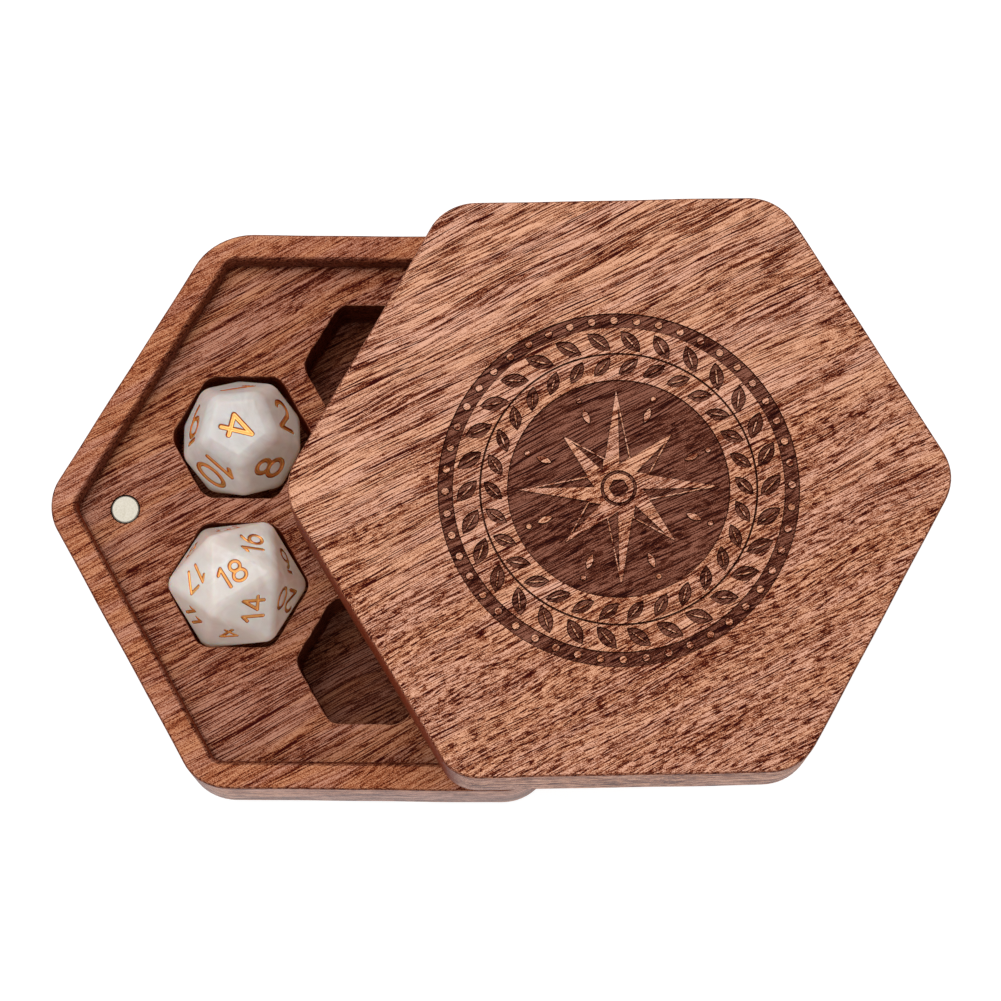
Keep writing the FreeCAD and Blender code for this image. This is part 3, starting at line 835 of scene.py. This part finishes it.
def relief(skin, outline, figures, depth, slope):
    """A flat top with burnt figures sunk into it, and a charred wall along each of their edges.

    A wall leans into its figure: its foot lies slope to the left of the edge, which runs with
    the figure on that side.
    """
    points, triangles, owners = triangulate([outline] + figures)
    top = outline[0][2]
    sunk = np.array([len([n for n in inside if n]) % 2 == 1 for inside in owners])
    triangles = np.array(triangles)
    low, high = triangles[sunk], triangles[~sunk]
    level = np.full(len(points), top)
    sides = np.concatenate([low[:, (0, 1)], low[:, (1, 2)], low[:, (2, 0)]])
    keys = {tuple(side) for side in sides.tolist()}
    edge = np.array([(a, b) for a, b in keys if (b, a) not in keys])
    ahead = points[edge[:, 1]] - points[edge[:, 0]]
    left = np.column_stack([-ahead[:, 1], ahead[:, 0]]) / np.linalg.norm(ahead, axis=1)[:, None]
    lean = np.zeros_like(points)
    np.add.at(lean, edge[:, 0], left)
    np.add.at(lean, edge[:, 1], left)
    lean *= slope / np.maximum(np.linalg.norm(lean, axis=1), 0.5)[:, None]
    top_points = np.column_stack([points, level])
    foot_points = np.column_stack([points + lean, level - depth])
    skin.add(top_points, high.tolist(), SANDED)
    skin.add(foot_points, low.tolist(), ENGRAVED)
    walls = np.column_stack([edge, edge[:, ::-1] + len(points)])
    skin.add(np.vstack([top_points, foot_points]), walls.tolist(), CHARRED)


lid_skin = Skin()
lid_top = LID_HIGH - RIM_FACE
under_edge = [outer_ring(u, v, LID_CORNERS) for u, v in quarter_round(EDGE_ROUND)]
over_edge = [outer_ring(u, lid_top - v, LID_CORNERS) for u, v in quarter_round(EDGE_ROUND)][::-1]
tongue_edge = [hexagon(TONGUE_FLATS - 2 * u, RECESS_CORNER - u, v - TONGUE_HEIGHT) for u, v in
               quarter_round(TONGUE_EASE)]
tongue_root = hexagon(TONGUE_FLATS, RECESS_CORNER, 0)
lid_skin.wrap(tongue_edge + [tongue_root], MILLED)
lid_skin.wrap([tongue_root, under_edge[0]], SANDED)
sides_of(lid_skin, under_edge, over_edge)
lid_face = outer_ring(EDGE_ROUND + MARGIN, lid_top, LID_CORNERS)
lid_skin.wrap([over_edge[-1], lid_face], SANDED)
relief(lid_skin, lid_face, medallion(), ENGRAVING_DEPTH, ENGRAVING_SLOPE)
lid_holes = [pocket(lid_skin, centre, -TONGUE_HEIGHT, LID_POCKET_DEPTH, 1, seed)
             for seed, centre in enumerate(honeycomb_centres(), start=LID_POCKET_SEED)]
reach = np.linalg.norm(lid_right - lid_left) / 2
lid_holes += [magnet_hole(lid_skin, (x, 0), -TONGUE_HEIGHT, 1) for x in (-reach, reach)]
lid_skin.plate(tongue_edge[0], lid_holes, MILLED)
lid_shift = Matrix.Translation(Vector((LID_CENTRE[0], LID_CENTRE[1], RIM_FACE)) * MM)
lid = lid_skin.piece("lid_wood", lid_shift @ Matrix.Rotation(LID_TURN, 4, "Z"))

LID_WOOD = [(0.0, (52, 0, 0)), (0.3, (104, 36, 6)), (0.6, (169, 104, 74)), (0.85, (204, 145, 114)),
            (1.0, (232, 175, 147))]
LID_INSIDE = [(0.0, (40, 5, 0)), (0.4, (78, 28, 11)), (1.0, (134, 70, 46))]
LID_BURNT = [(0.0, (34, 0, 0)), (0.3, (58, 13, 0)), (0.6, (84, 37, 21)), (0.85, (112, 62, 44)),
             (1.0, (146, 94, 76))]
lid.data.materials.append(wood("lid wood", grain_turn=28, offset=102.9, stretch=1.0,
                               cut=(0.003, -0.006, -0.12), wear_and_sheen=0.0,
                               plain=LID_WOOD, milled_and_shaded=LID_INSIDE, engraved=LID_BURNT))
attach(lid, "lid")
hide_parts("lid")

# ---------------------------------------------------------------------------
# Stage: a wide sheet of pale paper under an even sky, and one broad soft lamp above and to the
# left. None of it belongs to the object.
# ---------------------------------------------------------------------------
scene = bpy.context.scene
scene.view_settings.view_transform = "Standard"

FLOOR_HALF = 4.0
FLOOR_LEVEL = -0.05 * MM
floor_mesh = bpy.data.meshes.new("floor")
corners = [(x * FLOOR_HALF, y * FLOOR_HALF, FLOOR_LEVEL)
           for x, y in ((-1, -1), (1, -1), (1, 1), (-1, 1))]
floor_mesh.from_pydata(corners, [], [(0, 1, 2, 3)])
floor = bpy.data.objects.new("floor", floor_mesh)
scene.collection.objects.link(floor)
paper = Shader("white paper")
seen = paper.node("LightPath", out="Is Camera Ray")
seen = seen.math("MAXIMUM", seen, paper.node("LightPath", out="Is Glossy Ray"))
floor_mesh.materials.append(paper.finish(
    Base_Color=paper.mix(seen, (0.8, 0.8, 0.8, 1.0), (0.25, 0.25, 0.25, 1.0)), Roughness=1.0,
    Emission_Color=paper.mix(seen, (0.0, 0.0, 0.0, 1.0), (1.0, 1.0, 1.0, 1.0)), Emission_Strength=0.9))

world = bpy.data.worlds.new("even sky")
world.use_nodes = True
world.node_tree.nodes["Background"].inputs["Color"].default_value = (1, 1, 1, 1)
world.node_tree.nodes["Background"].inputs["Strength"].default_value = 0.75
scene.world = world

lamp = bpy.data.lights.new("soft lamp", "AREA")
lamp.shape = "DISK"
lamp.size = 0.9
lamp.energy = 6.0
lamp_holder = bpy.data.objects.new("soft lamp", lamp)
lamp_holder.location = (-0.35, 0.45, 1.1)
aim = Vector((0.02, 0, 0)) - lamp_holder.location
lamp_holder.rotation_euler = aim.to_track_quat("-Z", "Y").to_euler()
scene.collection.objects.link(lamp_holder)

# The camera looks steeply down, from far enough away that the sides hardly converge.
CAMERA_PLACE = (25.986, -112.422, 541.84)
CAMERA_YAW, CAMERA_PITCH, CAMERA_ROLL = 1.501, 77.746, -0.912
FOCAL_PIXELS = 3044.0
FRAME_PIXELS = 1001

camera = bpy.data.cameras.new("camera")
camera.sensor_width = 36.0
camera.lens = FOCAL_PIXELS / FRAME_PIXELS * camera.sensor_width
camera.clip_end = 20.0
viewer = bpy.data.objects.new("camera", camera)
turn = Matrix.Rotation(math.radians(CAMERA_YAW), 4, "Z")
tip = Matrix.Rotation(math.radians(90 - CAMERA_PITCH), 4, "X")
roll = Matrix.Rotation(math.radians(CAMERA_ROLL), 4, "Z")
viewer.matrix_world = Matrix.Translation(Vector(CAMERA_PLACE) * MM) @ turn @ tip @ roll
scene.collection.objects.link(viewer)
scene.camera = viewer
